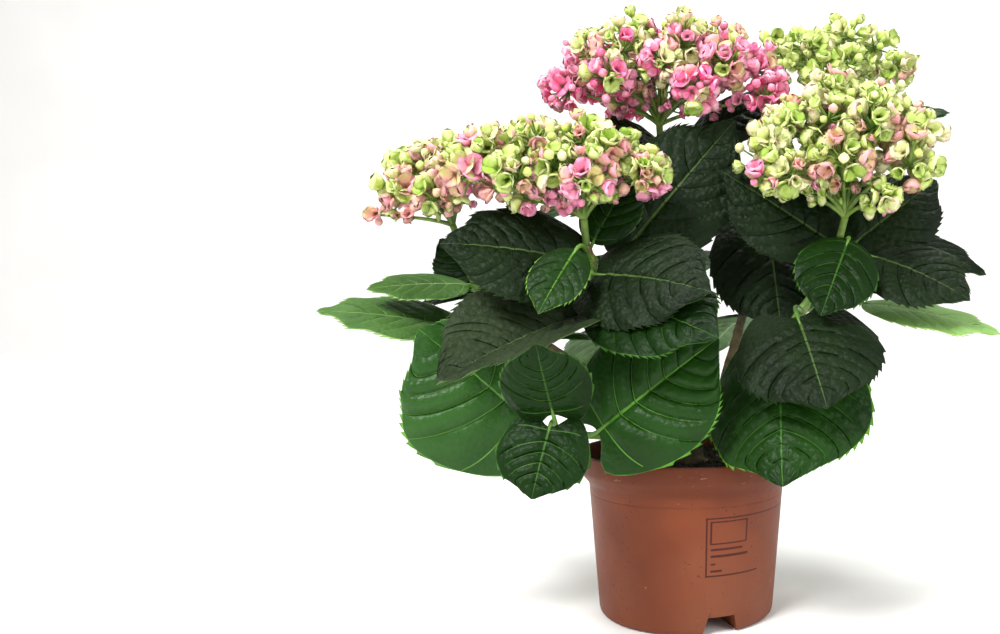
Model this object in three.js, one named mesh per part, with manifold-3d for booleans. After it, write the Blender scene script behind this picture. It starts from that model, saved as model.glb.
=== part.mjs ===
import * as THREE from "three";
import { mergeVertices } from "three/addons/utils/BufferGeometryUtils.js";
import Module from "manifold-3d";

const wasm = await Module();
wasm.setup();
const { Manifold, Mesh, CrossSection } = wasm;

const V = (x, y, z) => new THREE.Vector3(x, y, z);
const radians = THREE.MathUtils.degToRad;
const GAP = 0.3;
const SEAM = 0.42;

// Closed solid from points and triangles
function solidFrom(points, triangles) {
  const vertProperties = new Float32Array(points.flatMap((p) => [p.x, p.y, p.z]));
  const triVerts = new Uint32Array(triangles.flat());
  return new Manifold(new Mesh({ numProp: 3, vertProperties, triVerts }));
}

// The largest closed body with every sealed hollow filled and no needless slivers
const FINEST = 0.1;
const FINEST_BLOSSOM = 0.25;

function whole(solids, finest = FINEST) {
  const pieces = Manifold.union(solids).simplify(finest).decompose();
  return pieces.reduce((best, piece) => (piece.volume() > best.volume() ? piece : best));
}

// Turned body from a half outline given as radius, height pairs
const POT_SIDES = 36;
const turned = (outline) => Manifold.revolve(new CrossSection([outline]), POT_SIDES);

// Round limb through path points that each carry a radius
function limb(path, sides) {
  const points = [];
  const triangles = [];
  let side = V(0, 0, 1);
  path.forEach(({ at }, i) => {
    const before = path[Math.max(i - 1, 0)].at;
    const after = path[Math.min(i + 1, path.length - 1)].at;
    const along = path[i].along ?? after.clone().sub(before).normalize();
    if (i === 0 && Math.abs(along.z) > 0.7) side = V(1, 0, 0);
    side = side.clone().addScaledVector(along, -side.dot(along)).normalize();
    const across = along.clone().cross(side);
    for (let k = 0; k < sides; k++) {
      const turn = (2 * Math.PI * k) / sides;
      const out = side.clone().multiplyScalar(Math.cos(turn)).addScaledVector(across, Math.sin(turn));
      points.push(at.clone().addScaledVector(out, path[i].radius));
    }
  });
  const last = (path.length - 1) * sides;
  for (let k = 0; k < sides; k++) {
    const next = (k + 1) % sides;
    for (let ring = 0; ring < last; ring += sides) {
      triangles.push([ring + k, ring + next, ring + sides + next]);
      triangles.push([ring + k, ring + sides + next, ring + sides + k]);
    }
  }
  for (let k = 1; k < sides - 1; k++) {
    triangles.push([0, k + 1, k]);
    triangles.push([last, last + k, last + k + 1]);
  }
  return solidFrom(points, triangles);
}

// Distance run forward and sideways along a bend
function bend(run, start, turn) {
  if (Math.abs(turn) < 1e-6) return [run * Math.cos(start), run * Math.sin(start)];
  const end = start + turn * run;
  return [(Math.sin(end) - Math.sin(start)) / turn, (Math.cos(start) - Math.cos(end)) / turn];
}

// Leaf blade: a broad pointed oval, bent down along its midrib and across its sides
const BLADE_STEPS = [0.015, 0.1, 0.28, 0.5, 0.73, 0.92, 0.998];
const BLADE_ACROSS = [-1, 0, 1];
const BASE_POWER = 0.45;
const TIP_POWER = 0.75;
const WIDEST = 0.452;
const THICKNESS_SHARE = 0.015;

function bladeFrame(leaf) {
  const heading = radians(leaf.heading);
  const pitch = radians(leaf.pitch);
  const roll = radians(leaf.roll);
  const along = V(Math.cos(heading) * Math.cos(pitch), Math.sin(heading) * Math.cos(pitch), Math.sin(pitch));
  const level = V(-Math.sin(heading), Math.cos(heading), 0);
  const upper = along.clone().cross(level);
  const side = level.clone().multiplyScalar(Math.cos(roll)).addScaledVector(upper, Math.sin(roll));
  const face = upper.clone().multiplyScalar(Math.cos(roll)).addScaledVector(level, -Math.sin(roll));
  return { along, side, face };
}

function bladePoint(leaf, frame, u, v) {
  const { along, side, face } = frame;
  const halfWidth = ((leaf.width / 2) * u ** BASE_POWER * (1 - u) ** TIP_POWER) / WIDEST;
  const lobe = 0.7 * Math.max(leaf.width / leaf.length - 0.8, 0) * (1 - u) ** 4;
  const run = u + (0.16 * Math.sin(Math.PI * u) * (1 - u) - lobe) * v * v;
  const droop = radians(leaf.droop);
  const [forward, lift] = bend(run, 0, -droop);
  const [out, rise] = bend(Math.abs(v), radians(leaf.fold), -radians(leaf.curl));
  const normal = face.clone().multiplyScalar(Math.cos(droop * run)).addScaledVector(along, Math.sin(droop * run));
  return leaf.base.clone()
    .addScaledVector(along, forward * leaf.length)
    .addScaledVector(face, lift * leaf.length)
    .addScaledVector(side, Math.sign(v) * out * halfWidth)
    .addScaledVector(normal, rise * halfWidth);
}

function blade(leaf) {
  const frame = bladeFrame(leaf);
  const thickness = Math.max(1, leaf.length * THICKNESS_SHARE);
  const grid = BLADE_STEPS.map((u) => BLADE_ACROSS.map((v) => bladePoint(leaf, frame, u, v)));
  const rows = grid.length;
  const columns = BLADE_ACROSS.length;
  const upper = [];
  const lower = [];
  for (let i = 0; i < rows; i++) {
    for (let j = 0; j < columns; j++) {
      const down = grid[Math.min(i + 1, rows - 1)][j].clone().sub(grid[Math.max(i - 1, 0)][j]);
      const over = grid[i][Math.min(j + 1, columns - 1)].clone().sub(grid[i][Math.max(j - 1, 0)]);
      const normal = down.cross(over).normalize().multiplyScalar(thickness / 2);
      upper.push(grid[i][j].clone().add(normal));
      lower.push(grid[i][j].clone().sub(normal));
    }
  }
  const total = rows * columns;
  const triangles = [];
  const quad = (a, b, c, d) => triangles.push([a, b, c], [a, c, d]);
  for (let i = 0; i < rows - 1; i++) {
    for (let j = 0; j < columns - 1; j++) {
      const at = i * columns + j;
      quad(at, at + columns, at + columns + 1, at + 1);
      quad(total + at, total + at + 1, total + at + columns + 1, total + at + columns);
    }
    const left = i * columns;
    const right = left + columns - 1;
    quad(left, total + left, total + left + columns, left + columns);
    quad(right, right + columns, total + right + columns, total + right);
  }
  const end = total - columns;
  for (let j = 0; j < columns - 1; j++) {
    quad(j, j + 1, total + j + 1, total + j);
    quad(end + j, total + end + j, total + end + j + 1, end + j + 1);
  }
  return solidFrom([...upper, ...lower], triangles);
}

// Leaf stalk from the stem into the underside of the blade's midrib
const STALK_RADIUS = 1.6;

function stalk(leaf, root) {
  const frame = bladeFrame(leaf);
  const reach = leaf.base.distanceTo(root);
  const bow = leaf.base.clone().addScaledVector(frame.along, -0.4 * reach);
  const curve = new THREE.QuadraticBezierCurve3(root, bow, leaf.base);
  const path = [0, 0.6].map((t) => ({ at: curve.getPoint(t), radius: STALK_RADIUS * (1.15 - 0.3 * t) }));
  path.push({ at: bladePoint(leaf, frame, 0.08, 0), radius: STALK_RADIUS * 0.5 });
  return limb(path, 4);
}

// Pot: thin moulded wall, rolled rim, flat underside with three drained pockets in its edge
const POT = { rim: 65, height: 95, foot: 52, wall: 2.2, floor: 2.4 };
const POCKET = { count: 3, first: -68, low: 22, high: 16, height: 10, inner: 23, drain: 4 };
const SOIL_TOP = 88;

const potOutside = turned([
  [0, 0], [POT.foot - 2.4, 0], [POT.foot - 0.6, 1.2], [POT.foot, 3.4], [58.2, 76], [59, 77.4],
  [POT.rim, 84.6], [POT.rim, 94.2], [64.2, POT.height], [62.9, POT.height],
  [62.4, 86], [0, 86],
]);
const hollowOutline = (shrink) => [
  [0, POT.floor + shrink], [POT.foot - POT.wall - shrink, POT.floor + shrink],
  [55.4 - shrink, 76], [62.4 - shrink, 85.4], [62.4 - shrink, POT.height + 2], [0, POT.height + 2],
];

function pocketBlock(grow) {
  const low = POCKET.low / 2 + grow;
  const high = POCKET.high / 2 + grow;
  const top = POCKET.height + grow;
  const face = new CrossSection([[[-low, -1], [low, -1], [high, top], [-high, top]]]);
  return Manifold.extrude(face, 50).rotate([90, 0, 90]).translate([POCKET.inner - grow, 0, 0]);
}

const aroundPockets = (block) => Manifold.union(
  Array.from({ length: POCKET.count }, (_, i) => block.rotate([0, 0, POCKET.first + (360 / POCKET.count) * i])),
);

const cavity = turned(hollowOutline(0)).subtract(aroundPockets(pocketBlock(POT.wall)));
const drains = aroundPockets(
  Manifold.cylinder(8, POCKET.drain, POCKET.drain, 12).translate([38, 0, POCKET.height - 3]),
);
const pot = potOutside.subtract(cavity).subtract(aroundPockets(pocketBlock(0))).subtract(drains);

// Soil fills the pot a hair clear of the wall, level round the stem and uneven outside it
const SOIL_RINGS = [0, 20, 38, 53, 61.9];
const SOIL_SPOKES = 18;

function soilTop() {
  const points = [];
  SOIL_RINGS.forEach((radius, ring) => {
    const count = ring === 0 ? 1 : SOIL_SPOKES;
    for (let k = 0; k < count; k++) {
      const turn = (2 * Math.PI * k) / SOIL_SPOKES;
      const lump = ring < 2 ? 0 : 1.3 * Math.sin(3 * turn + ring) + 0.9 * Math.cos(5 * turn - 2 * ring);
      points.push(V(radius * Math.cos(turn), radius * Math.sin(turn), SOIL_TOP + lump));
    }
  });
  const rim = points.length - SOIL_SPOKES;
  const under = points.length;
  for (let k = 0; k < SOIL_SPOKES; k++) points.push(points[rim + k].clone().setZ(70));
  points.push(V(0, 0, 70));
  const triangles = [];
  for (let k = 0; k < SOIL_SPOKES; k++) {
    const next = (k + 1) % SOIL_SPOKES;
    triangles.push([0, 1 + k, 1 + next]);
    triangles.push([points.length - 1, under + next, under + k]);
    for (let ring = 1; ring < SOIL_RINGS.length; ring++) {
      const inner = ring === SOIL_RINGS.length - 1 ? rim : 1 + (ring - 1) * SOIL_SPOKES;
      const outer = ring === SOIL_RINGS.length - 1 ? under : inner + SOIL_SPOKES;
      triangles.push([inner + k, outer + k, outer + next]);
      triangles.push([inner + k, outer + next, inner + next]);
    }
  }
  return solidFrom(points, triangles);
}

const soilSpace = turned(hollowOutline(SEAM));
const soilBody = soilSpace.trimByPlane([0, 0, -1], -80);
const soil = whole([
  soilBody.subtract(aroundPockets(pocketBlock(POT.wall + SEAM))),
  soilTop().intersect(soilSpace),
]);

// Crown: the short woody foot of the shrub, flared at the soil and knuckled at the top
const CROWN_TOP = 104;
const crownOf = (grow) => limb([
  { at: V(0, 0, SOIL_TOP + GAP - grow), radius: 14 + grow },
  { at: V(0, 0, 91), radius: 11 + grow },
  { at: V(0.6, 0.3, 96), radius: 9.6 + grow },
  { at: V(0.4, 0.2, 101), radius: 10.4 + grow },
  { at: V(0, 0, CROWN_TOP + grow), radius: 8 + grow },
], 12);
const crown = crownOf(0);
const crownSpace = crownOf(SEAM);

// Shoots: the line of each from the crown, where bark gives way to green, and its leaves
const node = (share, ...leaves) => leaves.map((row) => ({ share, row }));
const shoots = {
  front_left: {
    line: [[-4, -4, 96], [-11, -10, 106], [-26, -19, 134], [-46, -36, 180], [-55, -42, 212], [-57, -43, 230]],
    thick: 3.2, bark: 0.5, leafy: 0.9,
    leaves: [
      ...node(0.62,
        [-52, -45, 178, 220, -12, -22, 97, 78, 20, 28, 10],
        [-44, -52, 185, 313, -5, 35, 82, 66, 20]),
      ...node(0.84,
        [-56, -50, 206, 207, 12, -57, 78, 64, 20],
        [-58.7, -65.6, 212, 241, -42, -23, 45.2, 32, 15, 14],
        [-50, -50, 199, 318, 1, 47, 76, 70, 25]),
      ...node(0.88,
        [-40, -25, 207, 5, 52, 77, 112, 72, 15],
        [-53, -35, 217, 32, 52, 48, 50, 36, 10]),
    ],
  },
  low_front: {
    line: [[-1, -6, 96], [-3, -15, 103], [-26, -42, 108], [-50, -62, 112], [-64, -76, 116], [-68, -86, 120]],
    thick: 2.6, bark: 0.5, leafy: 1,
    leaves: [
      ...node(0.8,
        [-88, -48, 119, 208, 43, -80, 77, 104, 15, -10, 30],
        [-47, -68, 115, 347, 39, 80, 82, 78, 10, 5, 25]),
      ...node(0.97,
        [-66, -100, 128, 260, 51, -171, 44, 46, 10],
        [-68, -98, 122, 249, -58, -16, 37, 48, 15]),
    ],
  },
  left: {
    line: [[-6, 0, 96], [-16, 2, 106], [-50, 3, 134], [-95, 1, 165], [-124, 0, 189], [-141, 0, 230]],
    thick: 3.2, bark: 0.5, leafy: 0.88,
    leaves: [
      ...node(0.6,
        [-127, -5, 166, 205, 15, -26, 89, 54, 15, 10, 20],
        [-110, 22, 182, 108, 10, 0, 78, 56, 25]),
      ...node(0.76,
        [-132, 2, 194, 213, 4, -24, 60, 40, 15],
        [-131, 9, 191, 143, 2, -24, 46, 38, 15],
        [-129, 12, 193, 170, 50, -76, 40, 34, 10]),
    ],
  },
  top: {
    line: [[-1, 6, 96], [-2, 13, 108], [-4, 20, 150], [-9, 27, 215], [-15, 30, 270], [-17, 30, 296]],
    thick: 3.3, bark: 0.4, leafy: 0.95,
    leaves: [
      ...node(0.55,
        [-26, 42, 212, 138, 4, 0, 95, 72, 35],
        [-4, 47, 214, 78, 10, 0, 88, 62, 30]),
      ...node(0.72,
        [-14, 46, 246, 100, -5, 0, 85, 64, 40],
        [-32, 30, 243, 176, 8, 0, 72, 54, 25]),
      ...node(0.9,
        [-19, 42, 288, 217, 20, -41, 41, 34, 20],
        [7, 44, 291, 335, 26, 58, 59, 48, 20]),
    ],
  },
  right: {
    line: [[5, -4, 96], [12, -9, 106], [32, -17, 134], [62, -25, 172], [84, -29, 208], [91, -30, 232]],
    thick: 3.2, bark: 0.5, leafy: 0.93,
    leaves: [
      ...node(0.54,
        [52, -55, 158, 262, -52, 13, 78, 98, 15, -5, 30]),
      ...node(0.64,
        [60, -62, 176, 279, -35, 13, 63, 80, 20, 0, 25],
        [104, -15, 183, 331, -5, 16, 80, 44, 15]),
      ...node(0.84,
        [91, -42, 219, 245, -37, -23, 59, 46, 20],
        [105, -25, 211, 317, -13, 31, 66, 58, 25],
        [97, -20, 217, 12, 38, 59, 69, 56, 10],
        [87, -26, 216, 182, 35, -72, 79, 60, 10]),
    ],
  },
  right_back: {
    line: [[6, 0, 96], [14, 1, 106], [27, 20, 145], [46, 50, 200], [82, 63, 275], [108, 70, 332]],
    thick: 3.2, bark: 0.36, leafy: 0.93,
    leaves: [
      ...node(0.46,
        [52, 78, 205, 82, 0, 0, 95, 72, 35],
        [76, 47, 200, 350, -4, 0, 82, 62, 20]),
      ...node(0.64,
        [52, 33, 239, 276, -58, 12, 82, 80, 15],
        [104, 45, 232, 337, -9, 30, 94, 50, 25]),
      ...node(0.85,
        [88, 85, 287, 100, 5, 0, 70, 50, 25],
        [121, 60, 302, 339, 14, 30, 54, 42, 20]),
    ],
  },
  back_left: {
    line: [[-4, 4, 96], [-10, 10, 106], [-21, 28, 126], [-32, 46, 156], [-38, 55, 186]],
    thick: 3, bark: 0.35, leafy: 1,
    leaves: [
      ...node(0.4,
        [-44, 44, 126, 165, -5, 0, 80, 60, 30],
        [-6, 50, 130, 78, -5, 0, 76, 58, 35]),
      ...node(0.7,
        [-40, 74, 168, 110, -10, 0, 90, 70, 35],
        [-58, 48, 160, 188, 10, 0, 52, 44, 20]),
      ...node(0.97,
        [-51, 62, 187, 152, 6, 0, 48, 40, 25],
        [-26, 66, 189, 62, 14, 0, 60, 42, 25]),
    ],
  },
  back_right: {
    line: [[3, 5, 96], [7, 13, 106], [18, 30, 122], [37, 52, 146], [52, 68, 176]],
    thick: 2.8, bark: 0.4, leafy: 1,
    leaves: [
      ...node(0.45,
        [42, 26, 130, 345, -5, 0, 62, 50, 20],
        [23, 54, 122, 80, -14, 0, 74, 56, 35]),
      ...node(0.92,
        [64, 70, 172, 38, 0, 0, 82, 62, 30],
        [46, 86, 174, 112, -5, 0, 84, 64, 35]),
    ],
  },
};

// Flower heads: where the green rays part, the crest and reach of the dome of clusters,
// and the few clusters that hang clear of it
const heads = {
  front_left: {
    fork: [-57, -43, 231], crest: [-75, -45, 288], reach: [70, 48], drop: 17, size: 15.5, count: 15, seed: 205,
    strays: [[-24, -52, 254, 9], [-86, -60, 240, 8]],
  },
  left: {
    fork: [-141, 0, 231], crest: [-155, 8, 285], reach: [42, 42], drop: 18, size: 14, count: 10, seed: 241,
    strays: [[-183, -8, 236, 6]],
  },
  top: {
    fork: [-17, 30, 297], crest: [-12, 17, 367], reach: [86, 57], drop: 37, size: 16.5, count: 20, seed: 258,
    strays: [[-70, 12, 316, 9]],
  },
  right: {
    fork: [91, -30, 233], crest: [91, -31, 320], reach: [69, 49], drop: 46, size: 16.5, count: 17, seed: 374,
    strays: [[108, -58, 241, 9], [40, -56, 251, 8], [47, -50, 272, 12]],
  },
  right_back: {
    fork: [108, 70, 333], crest: [104, 75, 379], reach: [62, 40], drop: 28, size: 13, count: 12, seed: 150,
    strays: [[152, 74, 346, 7], [60, 66, 362, 7]],
  },
};

const GOLDEN_TURN = 2.39996;
const LEAN = 0.3;

// Repeatable scatter between 0 and 1
function chance(n) {
  const wave = Math.sin(n * 12.9898) * 43758.5453;
  return wave - Math.floor(wave);
}

function clustersOf({ crest, reach, drop, size, count, seed, strays }) {
  const dome = Array.from({ length: count }, (_, i) => {
    const share = Math.sqrt((i + 0.5) / count);
    const turn = GOLDEN_TURN * i + seed;
    const radius = size * (0.85 + 0.3 * chance(i + seed));
    const lift = size * 0.6 * (chance(7 * i + seed) - 0.5);
    const aside = (reach[0] - radius) * share * Math.cos(turn);
    const back = (reach[1] - radius) * share * Math.sin(turn);
    const down = radius + drop * share ** 2 - LEAN * back - lift;
    return [crest[0] + aside, crest[1] + back, crest[2] - down, radius];
  });
  return [...dome, ...strays];
}

// Flower cluster: one knot of blossom with a bump for each floret on its outer side
const BUMPS = 7;

function knotPoints(detail) {
  const ball = new THREE.IcosahedronGeometry(1, detail);
  ball.deleteAttribute("normal");
  ball.deleteAttribute("uv");
  return mergeVertices(ball, 1e-4);
}

const KNOTS = { coarse: knotPoints(0), fine: knotPoints(1) };

function cluster(centre, fork, radius) {
  const outward = centre.clone().sub(fork).normalize().add(V(0, 0, 0.6)).normalize();
  const side = outward.clone().cross(V(0.3, 1, 0.1)).normalize();
  const across = outward.clone().cross(side);
  const bumps = Array.from({ length: BUMPS }, (_, i) => {
    const height = 1 - (1.4 * (i + 0.5)) / BUMPS;
    const spread = Math.sqrt(1 - height * height);
    const angle = GOLDEN_TURN * i + centre.x;
    return outward.clone().multiplyScalar(height)
      .addScaledVector(side, spread * Math.cos(angle))
      .addScaledVector(across, spread * Math.sin(angle));
  });
  const ball = radius < 16 ? KNOTS.coarse : KNOTS.fine;
  const corners = ball.attributes.position;
  const points = [];
  for (let i = 0; i < corners.count; i++) {
    const direction = V(corners.getX(i), corners.getY(i), corners.getZ(i)).normalize();
    const nearest = Math.max(...bumps.map((bump) => bump.dot(direction)));
    points.push(centre.clone().addScaledVector(direction, radius * (0.7 + 0.3 * Math.max(nearest, 0) ** 3)));
  }
  const order = ball.index.array;
  const triangles = [];
  for (let i = 0; i < order.length; i += 3) triangles.push([order[i], order[i + 1], order[i + 2]]);
  return solidFrom(points, triangles);
}

// Green ray from the fork to a cluster that no earlier one already carries
const RAY_RADIUS = 1.5;
const WELL_JOINED = 30;

function ray(fork, centre, radius) {
  const start = fork.clone().add(V(0, 0, -1));
  const bow = V(centre.x * 0.6 + fork.x * 0.4, centre.y * 0.6 + fork.y * 0.4, centre.z * 0.4 + fork.z * 0.6);
  const curve = new THREE.QuadraticBezierCurve3(start, bow, centre);
  return limb([0, 0.5, 1].map((t) => ({ at: curve.getPoint(t), radius: radius * (1 - 0.35 * t) })), 3);
}

// A stretch of a shoot's line as a tapering limb
const STEM_STEPS = 4;

function shootCurve(shoot) {
  return new THREE.CatmullRomCurve3(shoot.line.map((p) => V(...p)), false, "centripetal");
}

function stretch(shoot, from, to, sides) {
  const curve = shootCurve(shoot);
  const path = [];
  for (let i = 0; i <= STEM_STEPS; i++) {
    const share = from + ((to - from) * i) / STEM_STEPS;
    const radius = shoot.thick * (1 - 0.35 * share);
    path.push({ at: curve.getPointAt(share), along: curve.getTangentAt(share), radius });
  }
  return limb(path, sides);
}

function leafOf(row) {
  const [x, y, z, heading, pitch, roll, length, width, droop, fold = 8, curl = 25] = row;
  return { base: V(x, y, z), heading, pitch, roll, length, width, droop, fold, curl };
}

const colours = {
  pot: 0xa8573c, soil: 0x2b211b, bark: 0x6d5a3c, leaf: 0x2f5a2c,
  pink: 0xd86a94, blush: 0xe6a59c, lime: 0xb9cc74,
};
const headColours = { front_left: "lime", left: "blush", top: "pink", right: "lime", right_back: "lime" };

const group = new THREE.Group();
group.name = "potted_hydrangea";
const placed = [];

function add(name, solid, colour) {
  const raw = solid.getMesh();
  const geometry = new THREE.BufferGeometry();
  geometry.setAttribute("position", new THREE.BufferAttribute(raw.vertProperties, 3));
  geometry.setIndex(new THREE.BufferAttribute(raw.triVerts, 1));
  geometry.computeVertexNormals();
  const mesh = new THREE.Mesh(geometry, new THREE.MeshStandardMaterial({ color: colour }));
  mesh.name = name;
  group.add(mesh);
  placed.push(solid);
}

const clear = (solid) => placed.every((other) => solid.minGap(other, GAP) >= GAP * 0.99);

add("pot", pot, colours.pot);
add("soil", soil, colours.soil);
add("crown_stem", crown, colours.bark);

const entries = Object.entries(shoots);
for (const [name, shoot] of entries) {
  const cane = stretch(shoot, 0, shoot.bark, 6).subtract(crownSpace);
  add(`cane_${name}`, whole([cane]), colours.bark);
}
for (const [name, shoot] of entries) {
  const seam = SEAM / shootCurve(shoot).getLength();
  const solids = [stretch(shoot, shoot.bark + seam, shoot.leafy, 6)];
  for (const { share, row } of shoot.leaves) {
    const leaf = leafOf(row);
    const leafSolid = blade(leaf).add(stalk(leaf, shootCurve(shoot).getPointAt(share)));
    if (clear(leafSolid)) solids.push(leafSolid);
  }
  add(`foliage_${name}`, whole(solids), colours.leaf);
}
for (const [name, head] of Object.entries(heads)) {
  const shoot = shoots[name];
  const seam = SEAM / shootCurve(shoot).getLength();
  const fork = V(...head.fork);
  const solids = [stretch(shoot, shoot.leafy + seam, 1, 6)];
  for (const [x, y, z, radius] of clustersOf(head)) {
    const centre = V(x, y, z);
    const blossom = cluster(centre, fork, radius);
    const rests = solids.some((other) => blossom.intersect(other).volume() > WELL_JOINED);
    const branch = rests ? blossom : blossom.add(ray(fork, centre, RAY_RADIUS));
    if (clear(branch)) solids.push(branch);
  }
  add(`flower_head_${name}`, whole(solids, FINEST_BLOSSOM), colours[headColours[name]]);
}

export default group;
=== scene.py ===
import math
from collections import namedtuple
from contextlib import contextmanager

import bpy
import bmesh
import numpy as np
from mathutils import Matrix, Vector
from mathutils.bvhtree import BVHTree


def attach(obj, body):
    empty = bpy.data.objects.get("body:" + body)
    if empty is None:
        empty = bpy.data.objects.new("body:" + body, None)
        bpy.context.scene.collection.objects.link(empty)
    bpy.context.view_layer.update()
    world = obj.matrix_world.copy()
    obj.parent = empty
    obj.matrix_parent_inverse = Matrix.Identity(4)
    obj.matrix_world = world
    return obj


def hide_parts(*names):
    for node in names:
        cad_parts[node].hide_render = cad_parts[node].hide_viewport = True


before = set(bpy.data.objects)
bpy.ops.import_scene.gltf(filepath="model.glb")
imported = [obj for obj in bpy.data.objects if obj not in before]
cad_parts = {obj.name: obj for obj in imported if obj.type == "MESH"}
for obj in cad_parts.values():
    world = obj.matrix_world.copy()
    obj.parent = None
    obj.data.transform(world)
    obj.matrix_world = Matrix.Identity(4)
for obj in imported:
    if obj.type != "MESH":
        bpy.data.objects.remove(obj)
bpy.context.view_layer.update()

MM = 0.001
GOLDEN_TURN = 2.39996
# Gap between two neighbouring solids along a shoot, and how much a shoot thins towards its end
SEAM = 0.42
TAPER = 0.35


def placed(name, data):
    made = bpy.data.objects.new(name, data)
    bpy.context.scene.collection.objects.link(made)
    return made


def mesh_of(name, points, faces, edges=()):
    """A mesh from points in millimetres."""
    mesh = bpy.data.meshes.new(name)
    mesh.from_pydata((np.asarray(points) * MM).tolist(), list(edges), faces)
    return mesh


# Camera first: level with the middle of the plant, as the photograph was taken
def place_camera():
    lens = bpy.data.cameras.new("photo_camera")
    lens.sensor_width = 36
    lens.lens = 33.46
    lens.shift_x = -0.186
    lens.shift_y = -0.020
    lens.clip_start = 0.05
    lens.clip_end = 50
    camera = placed("photo_camera", lens)
    camera.location = (0, -0.562, 0.1866)
    camera.rotation_euler = (math.radians(90), 0, 0)
    bpy.context.scene.camera = camera


place_camera()


# A node's output, which adds further nodes to its tree by plain operators and calls
class Wire:
    def __init__(self, tree, socket):
        self.tree = tree
        self.socket = socket

    def math(self, operation, *others):
        return node(self.tree, "ShaderNodeMath", dict(enumerate((self, *others))), operation=operation)

    def __add__(self, other):
        return self.math("ADD", other)

    __radd__ = __add__

    def __mul__(self, other):
        return self.math("MULTIPLY", other)

    def __sub__(self, other):
        return self.math("SUBTRACT", other)

    def __rsub__(self, other):
        return (self * -1) + other

    def above(self, low, high):
        return node(self.tree, "ShaderNodeMapRange", {
            "Value": self, "From Min": low, "From Max": high,
        }, interpolation_type="SMOOTHSTEP")

    def inside(self, low, high, soft):
        return self.above(low - soft, low + soft) * (1 - self.above(high - soft, high + soft))

    def noise(self, scale, detail=2.0):
        return node(self.tree, "ShaderNodeTexNoise", {
            "Vector": self, "Scale": float(scale), "Detail": detail, "Roughness": 0.55,
        })

    def through(self, step, **sockets):
        """Sends a geometry through one more node."""
        return node(self.tree, f"GeometryNode{step}", {"Geometry": self, **sockets})

    def leave(self):
        """Hands a geometry to the output of its tree."""
        node(self.tree, "NodeGroupOutput", {"Geometry": self})


def node(tree, kind, sockets=None, output=0, **settings):
    """Adds a node of any kind, feeds its sockets by name or number, and gives one output."""
    made = tree.nodes.new(kind)
    for name, value in settings.items():
        setattr(made, name, value)
    for name, value in (sockets or {}).items():
        feed(tree, made.inputs[name], value)
    return Wire(tree, made.outputs[output] if len(made.outputs) else None)


def feed(tree, socket, value):
    if isinstance(value, Wire):
        tree.links.new(value.socket, socket)
    else:
        socket.default_value = value


def outputs(tree, kind, sockets=None):
    made = node(tree, kind, sockets).socket.node
    return {socket.name: Wire(tree, socket) for socket in made.outputs}


def shade(hex_colour):
    channels = [int(hex_colour[i:i + 2], 16) / 255 for i in (0, 2, 4)]
    return tuple(c / 12.92 if c < 0.04045 else ((c + 0.055) / 1.055) ** 2.4 for c in channels)


# The mixing node repeats its socket names for each type, so its colours go by number
MIX_MASK, MIX_FIRST, MIX_SECOND, MIX_RESULT = 0, 6, 7, 2


def blend_colours(mask, first, second):
    ends = [c if isinstance(c, Wire) else (*shade(c), 1) for c in (first, second)]
    return node(mask.tree, "ShaderNodeMix", {
        MIX_MASK: mask, MIX_FIRST: ends[0], MIX_SECOND: ends[1],
    }, MIX_RESULT, data_type="RGBA")


def finish(name, colour, roughness, height=None, distance=0.001, **constants):
    """A Principled material from functions of its node tree and the object's coordinates."""
    material = bpy.data.materials.new(name)
    material.use_nodes = True
    tree = material.node_tree
    tree.nodes.clear()
    where = outputs(tree, "ShaderNodeTexCoord")["Object"]
    sockets = {"Base Color": colour(where), "Roughness": roughness(where), **constants}
    if height:
        sockets["Normal"] = node(tree, "ShaderNodeBump", {
            "Height": height(where), "Distance": distance, "Strength": 1.0,
        })
    surface = node(tree, "ShaderNodeBsdfPrincipled", sockets)
    node(tree, "ShaderNodeOutputMaterial", {"Surface": surface})
    return material


def mottled(first, second, scale, low=0.35, high=0.65):
    def colour(where):
        return blend_colours(where.noise(scale).above(low, high), first, second)
    return colour


def varied(base, spread, scale):
    def value(where):
        return where.noise(scale) * spread + (base - spread / 2)
    return value


def grain(*layers):
    def height(where):
        heights = [where.noise(scale) * share for scale, share in layers]
        return sum(heights[1:], heights[0])
    return height


def plain(name, colours, roughness, layers, bump):
    """A finish mottled in two colours, with layers of grain as scale and share."""
    return finish(name, mottled(*colours), varied(*roughness), grain(*layers), bump)


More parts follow.
